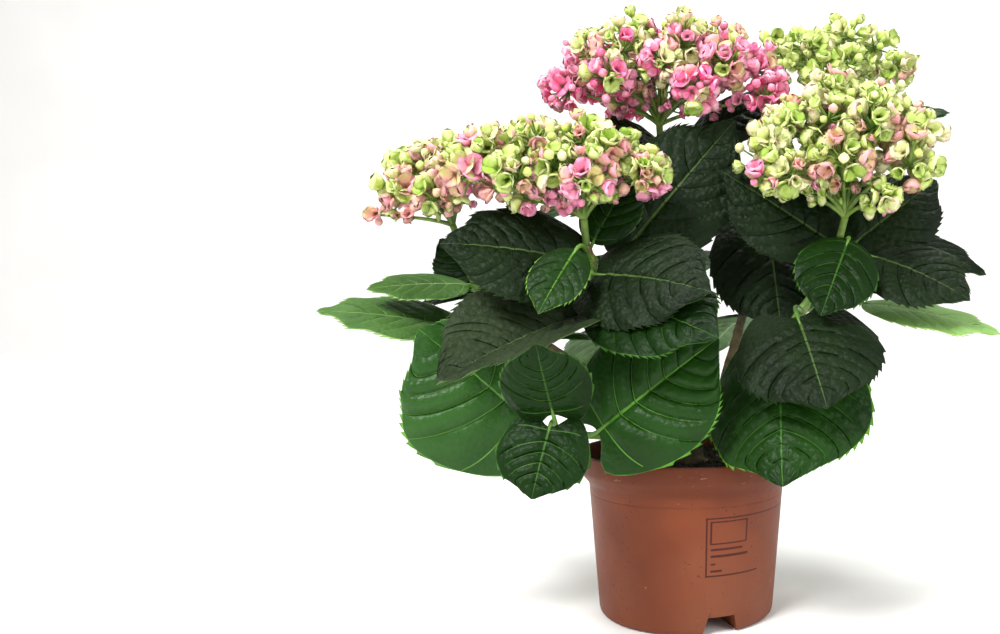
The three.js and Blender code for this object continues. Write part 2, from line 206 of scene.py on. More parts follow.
# Kinds of leaf: side veins on each half, swell between them, depth and count of the quilted cells, how
# far out the veins stay pale and whether the edge is pale, then the colours and the numbers of the finish
Kind = namedtuple(
    "Kind", "veins swell quilt cells pale_veins pale_edge dark light vein edge roughness bump shine")
LEAVES = {
    "deep": Kind(8, 1.2, 0.5, 58, 0, False, "0b1907", "15260d", "4a632f", "24351a", 0.5, 0.001, 0.13),
    "dull": Kind(11, 0.75, 0.55, 62, 0, False, "1c2814", "2c3a21", "5c7244", "3a4b29", 0.6, 0.001, 0.16),
    "mid": Kind(7, 1.5, 0.35, 50, 0.8, True, "0a1f04", "132e09", "3a6224", "2b4c17", 0.42, 0.0006, 0.1),
    "lush": Kind(7, 2.0, 0.5, 46, 0.9, True, "112e06", "1c400e", "588e2f", "3f6d1d", 0.4, 0.0005, 0.15),
    "crimped": Kind(8, 1.3, 0.9, 38, 0.85, True, "112e06", "1c3f0e", "44742a", "5c8f22", 0.42, 0.0006, 0.13),
    "fresh": Kind(6, 2.1, 0.5, 46, 0.97, True, "224716", "305a21", "6c9c42", "467622", 0.38, 0.0005, 0.18),
    "bright": Kind(7, 1.1, 0.3, 40, 0, True, "12290a", "1c3a10", "5f9130", "6c963a", 0.44, 0.0007, 0.14),
    "soft": Kind(7, 1.0, 0.3, 44, 0.9, True, "3a5c28", "4e7534", "84a65c", "6f9944", 0.5, 0.0007, 0.18),
    "pale": Kind(7, 0.8, 0.25, 44, 0.9, True, "698f48", "86ad60", "a4c47a", "98c060", 0.5, 0.0007, 0.18),
}
VEIN_BUMP = 0.0002


def puckered(where):
    cells = node(where.tree, "ShaderNodeTexVoronoi", {"Vector": where, "Scale": 300.0}, feature="F1")
    return where.noise(900, 1.0) * 0.3 - cells * 0.8


def leaf_finishes():
    made = {}
    for kind, tone in LEAVES.items():
        for name, colour, roughness, bump in (
            ("blade", mottled(tone.dark, tone.light, 30, 0.2, 0.8), (tone.roughness, 0.14, 160), tone.bump),
            ("vein", mottled(tone.vein, tone.light, 60, 0.2, 1.1), (tone.roughness, 0.1, 200), VEIN_BUMP),
            ("edge", mottled(tone.edge, tone.vein, 70), (tone.roughness + 0.05, 0.1, 200), VEIN_BUMP),
        ):
            made[kind, name] = finish(f"leaf_{kind}_{name}", colour, varied(*roughness), puckered, bump,
                                      **{"Specular IOR Level": tone.shine})
    return made


# Petal colours of each tint: its lighter patches, inner face, outer back and rim
PETAL_TINTS = {
    "lime": ("d2e08c", "b9d25c", "a2c04a", "d2d79c"),
    "cream": ("eae6b6", "dfdf9a", "c4d27a", "e6aea6"),
    "blush": ("ecaaa8", "e8be9c", "d0c47e", "eba0ae"),
    "pink": ("f3a0bc", "ea789c", "e591ae", "f8c4d2"),
    "deep": ("f26e9e", "e43a76", "f094b8", "fac2d4"),
}
# Scale of the patches, roughness and bump of each part of a petal
PETAL_PARTS = {"Face": (120, 0.5, 0.0003), "Back": (90, 0.52, 0.0003), "Rim": (150, 0.5, 0.0002)}
FACE, BACK, RIM = range(3)


def petal_finishes():
    made = {}
    for tint, (light, *colours) in PETAL_TINTS.items():
        made[tint] = {
            part: plain(f"petal_{tint}_{part.lower()}", (colour, light, scale), (roughness, 0.1, 200),
                        [(1400, 1)], bump)
            for colour, (part, (scale, roughness, bump)) in zip(colours, PETAL_PARTS.items())
        }
    return made


leaf_finish = leaf_finishes()
under_finish = plain("leaf_underside", ("4b6c3d", "5d804b", 50), (0.62, 0.1, 160), [(700, 1)], 0.0004)
under_vein_finish = plain(
    "leaf_underside_vein", ("739858", "84a767", 50), (0.6, 0.1, 160), [(700, 1)], VEIN_BUMP)
petal_finish = petal_finishes()
bark_finish = plain(
    "woody_bark", ("3c3320", "655537", 120), (0.78, 0.15, 200), [(420, 0.7), (1500, 0.3)], 0.0012)
shoot_finish = plain(
    "green_shoot", ("3f5c1d", "5f832e", 90), (0.5, 0.15, 150), [(600, 0.6), (1800, 0.3)], 0.0004)
node_finish = plain("reddened_node", ("5e3a22", "7d8a3a", 160), (0.55, 0.1, 150), [(700, 1)], 0.0004)
stalk_finish = plain("leaf_stalk", ("466c22", "668f36", 80), (0.45, 0.12, 150), [(900, 1)], 0.0003)
ray_finish = plain("flower_ray", ("506e24", "7c9a42", 100), (0.5, 0.12, 150), [(900, 1)], 0.0003)
soil_finish = plain(
    "dark_peat", ("120d09", "2c2119", 260), (0.92, 0.1, 300), [(700, 0.7), (2200, 0.4)], 0.0015)
crumb_finish = plain("peat_crumb", ("0f0b07", "33271c", 300), (0.93, 0.08, 300), [(1500, 1)], 0.0008)
fibre_finish = plain("peat_fibre", ("6d5638", "93794f", 300), (0.85, 0.1, 300), [(1500, 1)], 0.0005)


# A piece in the making: its points in millimetres, faces and a finish for each face
class Piece:
    def __init__(self, name):
        self.name = name
        self.points = []
        self.faces = []
        self.slots = []
        self.finishes = []
        self.total = 0

    def slot_of(self, material):
        if material not in self.finishes:
            self.finishes.append(material)
        return self.finishes.index(material)

    def add(self, points, faces, choices, picks):
        """Adds faces whose finishes are picked by number from the choices."""
        self.points.append(points)
        self.faces += [[corner + self.total for corner in face] for face in faces]
        self.slots.append(np.array([self.slot_of(material) for material in choices])[picks])
        self.total += len(points)

    def build(self):
        mesh = mesh_of(self.name, np.concatenate(self.points), self.faces)
        for material in self.finishes:
            mesh.materials.append(material)
        mesh.polygons.foreach_set("material_index", np.concatenate(self.slots).astype(np.int32))
        mesh.polygons.foreach_set("use_smooth", np.ones(len(self.faces), bool))
        mesh.update()
        return placed(self.name, mesh)


def settle(made, slot, *nodes):
    """Hands a finished piece to the frame."""
    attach(made, "root")
    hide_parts(*nodes)


def unit(v):
    return v / np.linalg.norm(v, axis=-1, keepdims=True)


def chance(n):
    """The same number from 0 to 1 for the same n in each run."""
    wave = math.sin(n * 12.9898) * 43758.5453
    return wave - math.floor(wave)


# Shoot line: the same smooth curve through the named points as the solids follow
class Line:
    STEPS = 200

    def __init__(self, points):
        p = np.array(points, float)
        p = np.vstack([2 * p[0] - p[1], p, 2 * p[-1] - p[-2]])
        spans = len(p) - 3
        places = []
        for i in range(self.STEPS + 1):
            t = i / self.STEPS * spans
            k = min(int(t), spans - 1)
            places.append(self.span(p[k:k + 4], t - k))
        self.places = np.array(places)
        steps = np.linalg.norm(np.diff(self.places, axis=0), axis=1)
        self.run = np.concatenate([[0], np.cumsum(steps)])
        self.length = self.run[-1]

    @staticmethod
    def span(p, t):
        d0, d1, d2 = (max(np.linalg.norm(p[i + 1] - p[i]) ** 0.5, 1e-4) for i in range(3))
        start = ((p[1] - p[0]) / d0 - (p[2] - p[0]) / (d0 + d1) + (p[2] - p[1]) / d1) * d1
        end = ((p[2] - p[1]) / d1 - (p[3] - p[1]) / (d1 + d2) + (p[3] - p[2]) / d2) * d1
        c2 = -3 * p[1] + 3 * p[2] - 2 * start - end
        c3 = 2 * p[1] - 2 * p[2] + start + end
        return p[1] + start * t + c2 * t ** 2 + c3 * t ** 3

    def at(self, share):
        target = np.clip(share, 0, 1) * self.length
        return np.stack([np.interp(target, self.run, self.places[:, k]) for k in range(3)], axis=-1)


def ring(sides):
    """The angles of a ring's corners."""
    return np.arange(sides) * math.tau / sides


def around(sides):
    """Each corner of a ring with the next one."""
    return [(k, (k + 1) % sides) for k in range(sides)]


def tube_faces(count, sides):
    """Walls between rings of corners, and fans to two end points that follow the rings."""
    walls = [[low + k, low + n, low + sides + n, low + sides + k]
             for low in range(0, (count - 1) * sides, sides) for k, n in around(sides)]
    first, last = count * sides, (count - 1) * sides
    caps = []
    for k, n in around(sides):
        caps += [[first, n, k], [first + 1, last + k, last + n]]
    return walls, caps


def limb(points, radii, sides, relief=None):
    """Round limb through points with a radius each, closed at both ends."""
    points = np.asarray(points, float)
    along = unit(np.gradient(points, axis=0))
    side = np.array([0.0, 0.0, 1.0]) if abs(along[0][2]) < 0.7 else np.array([1.0, 0.0, 0.0])
    turns = ring(sides)
    rings = []
    for i, (at, way) in enumerate(zip(points, along)):
        side = unit(side - way * side.dot(way))
        across = np.cross(way, side)
        radius = radii[i] * (1 + (relief(turns, i) if relief else 0 * turns))
        out = np.cos(turns)[:, None] * side + np.sin(turns)[:, None] * across
        rings.append(at + out * radius[:, None])
    ends = [points[0] - along[0] * radii[0] * 0.3, points[-1] + along[-1] * radii[-1] * 0.3]
    return np.vstack([*rings, *ends]), *tube_faces(len(points), sides)


def add_limb(piece, points, radii, sides, material, relief=None, marks=None, mark_finish=None):
    """Adds a limb. Its marked rings take the second finish."""
    verts, walls, caps = limb(points, radii, sides, relief)
    picks = np.zeros(len(walls) + len(caps), int)
    if marks is not None:
        picks[:len(walls)] = np.repeat(marks, sides)
    piece.add(verts, walls + caps, [material, mark_finish or material], picks)


# Leaf blade, worked out as the solids' blade is, on a grid whose rows follow the side veins
Leaf = namedtuple("Leaf", "base along side face length width droop fold curl")
DEFAULT_FOLD = 8
DEFAULT_CURL = 25
WIDEST_OUTLINE = 0.452


def bend(run, start, turn):
    if abs(turn) < 1e-6:
        return run * math.cos(start), run * math.sin(start)
    end = start + turn * run
    return (np.sin(end) - math.sin(start)) / turn, (math.cos(start) - np.cos(end)) / turn


def leaf_of(x, y, z, heading, pitch, roll, length, width, droop, fold=DEFAULT_FOLD, curl=DEFAULT_CURL):
    heading, pitch, roll = map(math.radians, (heading, pitch, roll))
    level_way = np.array([math.cos(heading), math.sin(heading), 0])
    along = level_way * math.cos(pitch) + np.array([0, 0, math.sin(pitch)])
    level = np.array([-math.sin(heading), math.cos(heading), 0])
    upper = np.cross(along, level)
    side = level * math.cos(roll) + upper * math.sin(roll)
    face = upper * math.cos(roll) - level * math.sin(roll)
    bends = map(math.radians, (droop, fold, curl))
    return Leaf(np.array([x, y, z], float), along, side, face, length, width, *bends)


def half_width(leaf, u):
    outline = u ** 0.45 * (1 - u) ** 0.75
    return leaf.width / 2 * outline / WIDEST_OUTLINE


def blade_point(leaf, u, v):
    half = half_width(leaf, u)
    # Broad leaves have rounded lobes that reach back past the foot of the blade
    lobe = 0.5 * max(leaf.width / leaf.length - 0.78, 0) ** 0.4 * (1 - u) ** 4
    lobe = lobe * (1 - np.exp(-u / 0.02))
    run = u + (0.16 * np.sin(math.pi * u) * (1 - u) - lobe) * v * v
    forward, lift = bend(run, 0, -leaf.droop)
    out, rise = bend(np.abs(v), leaf.fold, -leaf.curl)
    tilt = leaf.droop * run
    normal = np.cos(tilt)[..., None] * leaf.face + np.sin(tilt)[..., None] * leaf.along
    return (
        leaf.base + (forward * leaf.length)[..., None] * leaf.along
        + (lift * leaf.length)[..., None] * leaf.face
        + (np.sign(v) * out * half)[..., None] * leaf.side + (rise * half)[..., None] * normal
    )


VEIN_SWEEP = 0.82
VEIN_HALF_WIDTH = 0.24
TOOTH = (0, 0.5, 1, 0.35)
TOOTH_SPACING = 4.3
# How far out each column of the grid stands, from the side of the midrib to the margin
ACROSS = np.array([0, 0.05, 0.11, 0.18, 0.25, 0.32, 0.39, 0.46, 0.53, 0.6, 0.67, 0.74, 0.81, 0.89, 0.98, 1])
FOOT_ROWS = (0.0004, 0.002, 0.006, 0.013, 0.024, 0.036)
TIP_ROWS = (0.976, 0.985, 0.993, 0.999)
PALE_VEINS_END = 0.68
BLADE, VEIN, EDGE, UNDER, UNDER_VEIN = range(5)


def blade_rows(length, veins, teeth):
    """Rows along the midrib, a close pair at each side vein.

    Each has its place, the place of its vein, whether it is one, its tooth and its share of the bay.
    """
    starts = 0.05 + 0.87 * (np.arange(veins) / veins) ** 0.93
    half = VEIN_HALF_WIDTH / length
    rows = [(at, at, 0, 0, 0) for at in FOOT_ROWS]
    edges = [*starts, 0.965]
    for i in range(veins):
        low, high = edges[i] + half, edges[i + 1] - half
        rows.append((edges[i] - half, edges[i], 1, 0, 0))
        steps = len(TOOTH) * teeth
        for k in range(steps + 1):
            at = low + (high - low) * k / steps
            middle = edges[i] if k == 0 else edges[i + 1] if k == steps else at
            rows.append((at, middle, 0, TOOTH[k % len(TOOTH)], k / steps))
    rows += [(at, at, 0, 0, 0) for at in TIP_ROWS]
    return np.array(rows).T


def swept(middle, s, spread, shape):
    """Moves the rows forward with their distance from the midrib, so that they follow the veins."""
    along = middle[:, None] + (s - middle)[:, None] * (1 - 0.8 * spread)
    slant = 0.6 * spread + 0.4 * spread ** 2
    along = along ** (1 / (1 + 0.35 * min(shape, 1) * slant))
    return np.clip(along + VEIN_SWEEP * along * (1 - along) * slant, 0.0002, 0.9992)


def blade_relief(s, spread, v, phase, plan, size, seed):
    """Swellings between the side veins with small quilted cells, a grooved midrib and a wavy margin."""
    bay = np.sin(math.pi * phase)[:, None]
    swell = bay ** 0.6 * np.clip(spread / 0.12, 0, 1) * np.clip((1.02 - spread) / 0.2, 0, 1)
    swell = swell * np.clip((1 - s) / 0.4, 0.2, 1)[:, None]
    drift = 0.6 * np.sin(s * 40 + seed)[:, None]
    cells = np.sin(spread * plan.cells + 3 * seed + 2.5 * phase[:, None] + drift)
    wobble = np.sin(s * 23 + seed)[:, None] * np.sin(v * 7 + 2 * seed)
    relief = size * (plan.swell * swell + plan.quilt * cells * bay * np.clip((1 - spread) / 0.15, 0, 1))
    relief += 0.35 * size * wobble * spread
    relief -= 0.6 * size * np.exp(-(spread / 0.05) ** 2) * (1 - s[:, None])
    waves = np.sin(s * (16 + 5 * chance(seed)) + 4 * seed)[:, None]
    ripple = 1.5 * size * waves * spread ** 4 * np.sign(v + 0.01)
    return relief + ripple * np.sin(math.pi * s)[:, None]


def blade_kinds(plan, s, is_vein, columns):
    """The finish of each face of the upper side and of the underside."""
    mid = columns // 2
    upper = np.full((len(s) - 1, columns - 1), BLADE)
    out = np.abs(np.concatenate([-ACROSS[::-1], [0], ACROSS]))
    near_midrib = (out[:-1] + out[1:]) / 2 < plan.pale_veins
    veins = is_vein[:-1] == 1
    upper[np.ix_(veins & (s[:-1] < PALE_VEINS_END), near_midrib)] = VEIN
    upper[:, mid - 1:mid + 1] = VEIN
    if plan.pale_edge:
        upper[:, [0, -1]] = EDGE
    under = np.full(upper.shape, UNDER)
    under[veins, 2:-2] = UNDER_VEIN
    under[:, mid - 1:mid + 1] = UNDER_VEIN
    return np.concatenate([upper.ravel(), under.ravel()])


def blade_faces(rows, columns):
    """Upper side, underside, and the thin wall round the margin."""
    total = rows * columns
    at = np.arange(total).reshape(rows, columns)
    a, b, c, d = at[:-1, :-1], at[1:, :-1], at[1:, 1:], at[:-1, 1:]
    upper = np.stack([a, b, c, d], axis=-1).reshape(-1, 4)
    under = np.stack([a, d, c, b], axis=-1).reshape(-1, 4) + total

    def wall(line, turned):
        near, far = line[:-1], line[1:]
        first, last = (far, near + total) if turned else (near + total, far)
        return np.stack([near, first, far + total, last], axis=-1)

    walls = [wall(at[:, 0], False), wall(at[:, -1], True), wall(at[0], True), wall(at[-1], False)]
    return np.concatenate([upper, under, *walls]).tolist(), sum(map(len, walls))


def add_blade(piece, leaf, kind, seed):
    length, width = leaf.length, leaf.width
    plan = LEAVES[kind]
    veins = round(plan.veins * (0.72 + 0.28 * min(length, 100) / 100))
    teeth = max(1, round(length / veins / TOOTH_SPACING))
    s, middle, is_vein, tooth, phase = blade_rows(length, veins, teeth)
    half = half_width(leaf, np.clip(s, 1e-3, 1))
    rib = np.clip((0.85 - 0.7 * s) * (0.55 + length / 160) / np.maximum(half, 0.2), 0.004, 0.45)
    right = rib[:, None] + (1 - rib[:, None]) * ACROSS[None, :]
    v = np.concatenate([-right[:, ::-1], np.zeros((len(s), 1)), right], axis=1)
    spread = np.abs(v)
    u = swept(middle, s, spread, width / length)
    drawn_in = 1 - 0.38 * np.clip((u - 0.78) / 0.2, 0, 1)
    place = blade_point(leaf, u, v * drawn_in)
    down = np.gradient(place, axis=0)
    normal = unit(np.cross(down, np.gradient(place, axis=1)) + 1e-9)
    size = min(width, length) / 70
    place = place + normal * blade_relief(s, spread, v, phase, plan, size, seed)[..., None]
    # Teeth point outwards and towards the tip
    margin = np.clip(np.minimum(s / 0.04, (1 - s) / 0.03), 0, 1) * (tooth - 0.3) * (0.8 + length / 85)
    margin = margin * np.clip((1 - s) / 0.25, 0.35, 1)
    for column, inward in ((0, 1), (v.shape[1] - 1, -2)):
        outward = unit(place[:, column] - place[:, inward])
        place[:, column] += (outward * 1.35 + unit(down[:, column])) * margin[:, None]
    girth = 0.3 + 0.8 * np.exp(-(spread / 0.06) ** 2) * (1 - 0.8 * s[:, None]) * size
    girth = girth + 0.16 * is_vein[:, None] * (1 - spread)
    lower = place - normal * girth[..., None] - normal * 0.1
    faces, wall = blade_faces(*v.shape)
    picks = np.concatenate([blade_kinds(plan, s, is_vein, v.shape[1]), np.full(wall, EDGE)])
    choices = [leaf_finish[kind, name] for name in ("blade", "vein", "edge")]
    points = np.concatenate([place.reshape(-1, 3), lower.reshape(-1, 3)])
    piece.add(points, faces, [*choices, under_finish, under_vein_finish], picks)


def sagging(start, pull, end, steps):
    """A curve from start to end, drawn towards a third point, and its shares."""
    t = np.linspace(0, 1, steps)[:, None]
    return (1 - t) ** 2 * start + 2 * t * (1 - t) * pull + t ** 2 * end, t[:, 0]


def add_stalk(piece, leaf, root):
    """Leaf stalk from the shoot into the underside of the midrib."""
    reach = np.linalg.norm(leaf.base - root)
    curve, t = sagging(root, leaf.base - leaf.along * 0.4 * reach, leaf.base, 9)
    end = blade_point(leaf, np.array([0.04, 0.1]), np.zeros(2)) - leaf.face * 0.5
    size = 0.75 + leaf.length / 400
    swollen_foot = 1 + 0.35 * np.exp(-(t / 0.08) ** 2)
    radii = [*(size * (1.75 - 0.55 * t) * swollen_foot), size * 0.95, size * 0.4]
    add_limb(piece, np.vstack([curve, end]), radii, 10, stalk_finish)


# Shoots: line, thickness, shares where bark gives way to green and where leaves end, and the leaves of
# each node: kind, then place, heading, pitch, roll, length, width, droop, and maybe fold and curl
Shoot = namedtuple("Shoot", "line thick bark leafy nodes")
SHOOTS = {
    "front_left": Shoot(
        [[-4, -4, 96], [-11, -10, 106], [-26, -19, 134], [-46, -36, 180], [-55, -42, 212], [-57, -43, 230]],
        3.2, 0.5, 0.9, {
            0.62: [("dull", -52, -45, 178, 220, -12, -22, 97, 78, 20, 28, 10),
                   ("mid", -44, -52, 185, 313, -5, 35, 82, 66, 20)],
            0.84: [("deep", -56, -50, 206, 207, 12, -57, 78, 64, 20),
                   ("bright", -58.7, -65.6, 212, 241, -42, -23, 45.2, 32, 15, 14),
                   ("deep", -50, -50, 199, 318, 1, 47, 76, 70, 25)],
            0.88: [("deep", -40, -25, 207, 5, 52, 77, 112, 72, 15),
                   ("mid", -53, -35, 217, 32, 60, 48, 50, 36, 10)],
        }),
    "low_front": Shoot(
        [[-1, -6, 96], [-3, -15, 103], [-26, -42, 108], [-50, -62, 112], [-64, -76, 116], [-68, -86, 120]],
        2.6, 0.5, 1, {
            0.8: [("fresh", -88, -48, 119, 208, 43, -80, 77, 104, 15, -10, 30),
                  ("lush", -47, -68, 115, 347, 39, 80, 82, 78, 10, 5, 25)],
            0.97: [("mid", -66, -100, 128, 260, 51, -171, 44, 46, 10),
                   ("mid", -68, -98, 122, 249, -58, -16, 37, 48, 15)],
        }),
    "left": Shoot(
        [[-6, 0, 96], [-16, 2, 106], [-50, 3, 134], [-95, 1, 165], [-124, 0, 189], [-141, 0, 230]],
        3.2, 0.5, 0.88, {
            0.6: [("soft", -127, -5, 166, 205, 15, -26, 89, 54, 15, 10, 20),
                  ("mid", -110, 22, 182, 108, 10, 0, 78, 56, 25)],
            0.76: [("soft", -132, 2, 194, 213, 4, -24, 60, 40, 15),
                   ("mid", -131, 9, 191, 143, 2, -24, 46, 38, 15),
                   ("mid", -129, 12, 193, 170, 50, -76, 40, 34, 10)],
        }),
    "top": Shoot(
        [[-1, 6, 96], [-2, 13, 108], [-4, 20, 150], [-9, 27, 215], [-15, 30, 270], [-17, 30, 296]],
        3.3, 0.4, 0.95, {
            0.55: [("deep", -26, 42, 212, 138, 4, 0, 95, 72, 35),
                   ("deep", -4, 47, 214, 78, 10, 0, 88, 62, 30)],
            0.72: [("deep", -14, 46, 246, 100, -5, 0, 85, 64, 40),
                   ("deep", -32, 30, 243, 176, 8, 0, 72, 54, 25)],
            0.9: [("deep", -19, 42, 288, 217, 20, -41, 41, 34, 20),
                  ("deep", 7, 44, 291, 335, 26, 58, 59, 48, 20)],
        }),
    "right": Shoot(
        [[5, -4, 96], [12, -9, 106], [32, -17, 134], [62, -25, 172], [84, -29, 208], [91, -30, 232]],
        3.2, 0.5, 0.93, {
            0.54: [("crimped", 52, -55, 158, 262, -52, 13, 78, 98, 15, -5, 30)],
            0.64: [("deep", 60, -62, 176, 279, -35, 13, 63, 80, 20, 0, 25),
                   ("pale", 104, -15, 183, 331, -5, 16, 80, 44, 15)],
            0.84: [("mid", 91, -42, 219, 245, -37, -23, 59, 46, 20),
                   ("deep", 105, -25, 211, 317, -13, 31, 66, 58, 25),
                   ("deep", 97, -20, 217, 12, 38, 59, 69, 56, 10),
                   ("deep", 87, -26, 216, 182, 35, -72, 79, 60, 10)],
        }),
    "right_back": Shoot(
        [[6, 0, 96], [14, 1, 106], [27, 20, 145], [46, 50, 200], [82, 63, 275], [108, 70, 332]],
        3.2, 0.36, 0.93, {
            0.46: [("deep", 52, 78, 205, 82, 0, 0, 95, 72, 35),
                   ("mid", 76, 47, 200, 350, -4, 0, 82, 62, 20)],
            0.64: [("deep", 52, 33, 239, 276, -58, 12, 82, 80, 15),
                   ("deep", 104, 45, 232, 337, -9, 30, 94, 50, 25)],
            0.85: [("deep", 88, 85, 287, 100, 5, 0, 70, 50, 25),
                   ("mid", 121, 60, 302, 339, 14, 30, 54, 42, 20)],
        }),
    "back_left": Shoot(
        [[-4, 4, 96], [-10, 10, 106], [-21, 28, 126], [-32, 46, 156], [-38, 55, 186]],
        3, 0.35, 1, {
            0.4: [("fresh", -44, 44, 126, 165, -5, 0, 80, 60, 30),
                  ("mid", -6, 50, 130, 78, -5, 0, 76, 58, 35)],
            0.7: [("mid", -40, 74, 168, 110, -10, 0, 90, 70, 35),
                  ("mid", -58, 48, 160, 188, 10, 0, 52, 44, 20)],
            0.97: [("bright", -51, 62, 187, 152, 6, 0, 48, 40, 25),
                   ("mid", -26, 66, 189, 62, 14, 0, 60, 42, 25)],
        }),
    "back_right": Shoot(
        [[3, 5, 96], [7, 13, 106], [18, 30, 122], [37, 52, 146], [52, 68, 176]],
        2.8, 0.4, 1, {
            0.45: [("mid", 42, 26, 130, 345, -5, 0, 62, 50, 20),
                   ("lush", 23, 54, 122, 80, -14, 0, 74, 56, 35)],
            0.92: [("mid", 64, 70, 172, 38, 0, 0, 82, 62, 30),
                   ("mid", 46, 86, 174, 112, -5, 0, 84, 64, 35)],
        }),
}
BARK_START = 0.02
JOINT_SPACING = 23
REDDENED = 0.72


# Woody canes with ridged bark, green shoots above them with a swollen joint at each pair of leaves
def bark_relief(seed):
    def relief(turns, ring_number):
        ridge = np.sin(turns * 5 + ring_number * 0.21 + seed)
        ridge += 0.6 * np.sin(turns * 9 - ring_number * 0.33 + 2 * seed)
        return 0.045 * ridge + 0.03 * np.sin(ring_number * 1.7 + turns * 2 + seed)
    return relief


def thickness(shoot, shares):
    return shoot.thick * (1 - TAPER * shares)


def grow_shoots():
    """Builds each shoot up to its head and gives the blades' surfaces, for the florets to avoid."""
    blades = []
    for index, (name, shoot) in enumerate(SHOOTS.items()):
        line = Line(shoot.line)
        cane = Piece(f"cane_{name}_bark")
        shares = np.linspace(BARK_START, shoot.bark, 34)
        joints = (shares * line.length / JOINT_SPACING) % 1
        swollen = 1 + 0.14 * np.exp(-((joints - 0.5) / 0.07) ** 2)
        add_limb(cane, line.at(shares), thickness(shoot, shares) * swollen, 20, bark_finish,
                 relief=bark_relief(index))
        settle(cane.build(), "bark", f"cane_{name}")
        green = Piece(f"stem_{name}")
        shares = np.linspace(shoot.bark + SEAM / line.length, shoot.leafy, 46)
        near = sum(np.exp(-((shares - share) * line.length / 3.2) ** 2) for share in shoot.nodes)
        add_limb(green, line.at(shares), thickness(shoot, shares) * (1 + 0.3 * near), 16, shoot_finish,
                 marks=near[:-1] > REDDENED, mark_finish=node_finish)
        leaves = Piece(f"leaves_{name}")
        rows = [(share, row) for share, pair in shoot.nodes.items() for row in pair]
        for number, (share, (kind, *numbers)) in enumerate(rows):
            leaf = leaf_of(*numbers)
            add_blade(leaves, leaf, kind, index * 7.3 + number * 1.9)
            add_stalk(green, leaf, line.at(share))
        blades.append(BVHTree.FromPolygons(np.concatenate(leaves.points).tolist(), leaves.faces))
        settle(green.build(), "leaf", f"foliage_{name}")
        settle(leaves.build(), "leaf", f"foliage_{name}")
    return blades


def grow_crown():
    crown = Piece("crown_bark")
    heights = np.array([88.3, 88.9, 91, 93.5, 96, 98.5, 101, 102.8, 104])
    radii = np.array([14, 12.9, 11, 10.1, 9.6, 10, 10.4, 9.6, 8])
    aside = [np.interp(heights, [91, 96, 104], [0, shift, 0]) for shift in (0.6, 0.3)]
    add_limb(crown, np.stack([*aside, heights], axis=1), radii * 0.97, 40, bark_finish, bark_relief(9))
    settle(crown.build(), "bark", "crown_stem")


# Geometry Nodes trees: rods along edges, florets set out on points, and crumbs strewn over faces
def new_tree(name, inputs):
    """An empty tree and the wires of its inputs, each given as name, kind and value."""
    tree = bpy.data.node_groups.new(name, "GeometryNodeTree")
    for title, kind, value in [("Geometry", "Geometry", None), *inputs]:
        made = tree.interface.new_socket(title, in_out="INPUT", socket_type=f"NodeSocket{kind}")
        if value is not None:
            made.default_value = value
    tree.interface.new_socket("Geometry", in_out="OUTPUT", socket_type="NodeSocketGeometry")
    return tree, outputs(tree, "NodeGroupInput")


def stored(tree, name, kind="FLOAT"):
    return node(tree, "GeometryNodeInputNamedAttribute", {"Name": name}, data_type=kind)


def rods_tree():
    tree, inputs = new_tree("green_rods", [("Sides", "Int", 8), ("Finish", "Material", None)])
    curves = node(tree, "GeometryNodeMeshToCurve", {"Mesh": inputs["Geometry"]})
    circle = node(tree, "GeometryNodeCurvePrimitiveCircle", {"Resolution": inputs["Sides"], "Radius": 1.0})
    rods = node(tree, "GeometryNodeCurveToMesh", {
        "Curve": curves, "Profile Curve": circle, "Scale": stored(tree, "girth"), "Fill Caps": True,
    })
    smooth = rods.through("RealizeInstances").through("SetShadeSmooth")
    smooth.through("SetMaterial", Material=inputs["Finish"]).leave()
    return tree


def florets_tree():
    tree, inputs = new_tree("floret_sprays", [
        ("Shapes", "Collection", None), ("Seed", "Int", 1),
        *((part, "Material", None) for part in PETAL_PARTS),
    ])
    shapes = node(tree, "GeometryNodeCollectionInfo", {
        "Collection": inputs["Shapes"], "Separate Children": True, "Reset Children": True,
    }, transform_space="ORIGINAL")
    facing = stored(tree, "facing", "FLOAT_VECTOR")
    aimed = node(tree, "FunctionNodeAlignRotationToVector", {"Vector": facing}, axis="Z")
    spin = node(tree, "FunctionNodeRandomValue", {"Seed": inputs["Seed"], 2: 0, 3: math.tau}, output=1,
                data_type="FLOAT")
    turn = node(tree, "FunctionNodeAxisAngleToRotation", {"Angle": spin})
    turned = node(tree, "FunctionNodeRotateRotation", {"Rotation": aimed, "Rotate By": turn},
                  rotation_space="LOCAL")
    spread = node(tree, "GeometryNodeInstanceOnPoints", {
        "Points": inputs["Geometry"], "Instance": shapes, "Pick Instance": True,
        "Instance Index": stored(tree, "pick", "INT"), "Rotation": turned, "Scale": stored(tree, "size"),
    })
    flow = spread.through("RealizeInstances").through("SetShadeSmooth")
    for number, part in enumerate(PETAL_PARTS):
        same = node(tree, "FunctionNodeCompare", {2: stored(tree, "part", "INT"), 3: number},
                    data_type="INT", operation="EQUAL")
        flow = flow.through("SetMaterial", Selection=same, Material=inputs[part])
    flow.leave()
    return tree


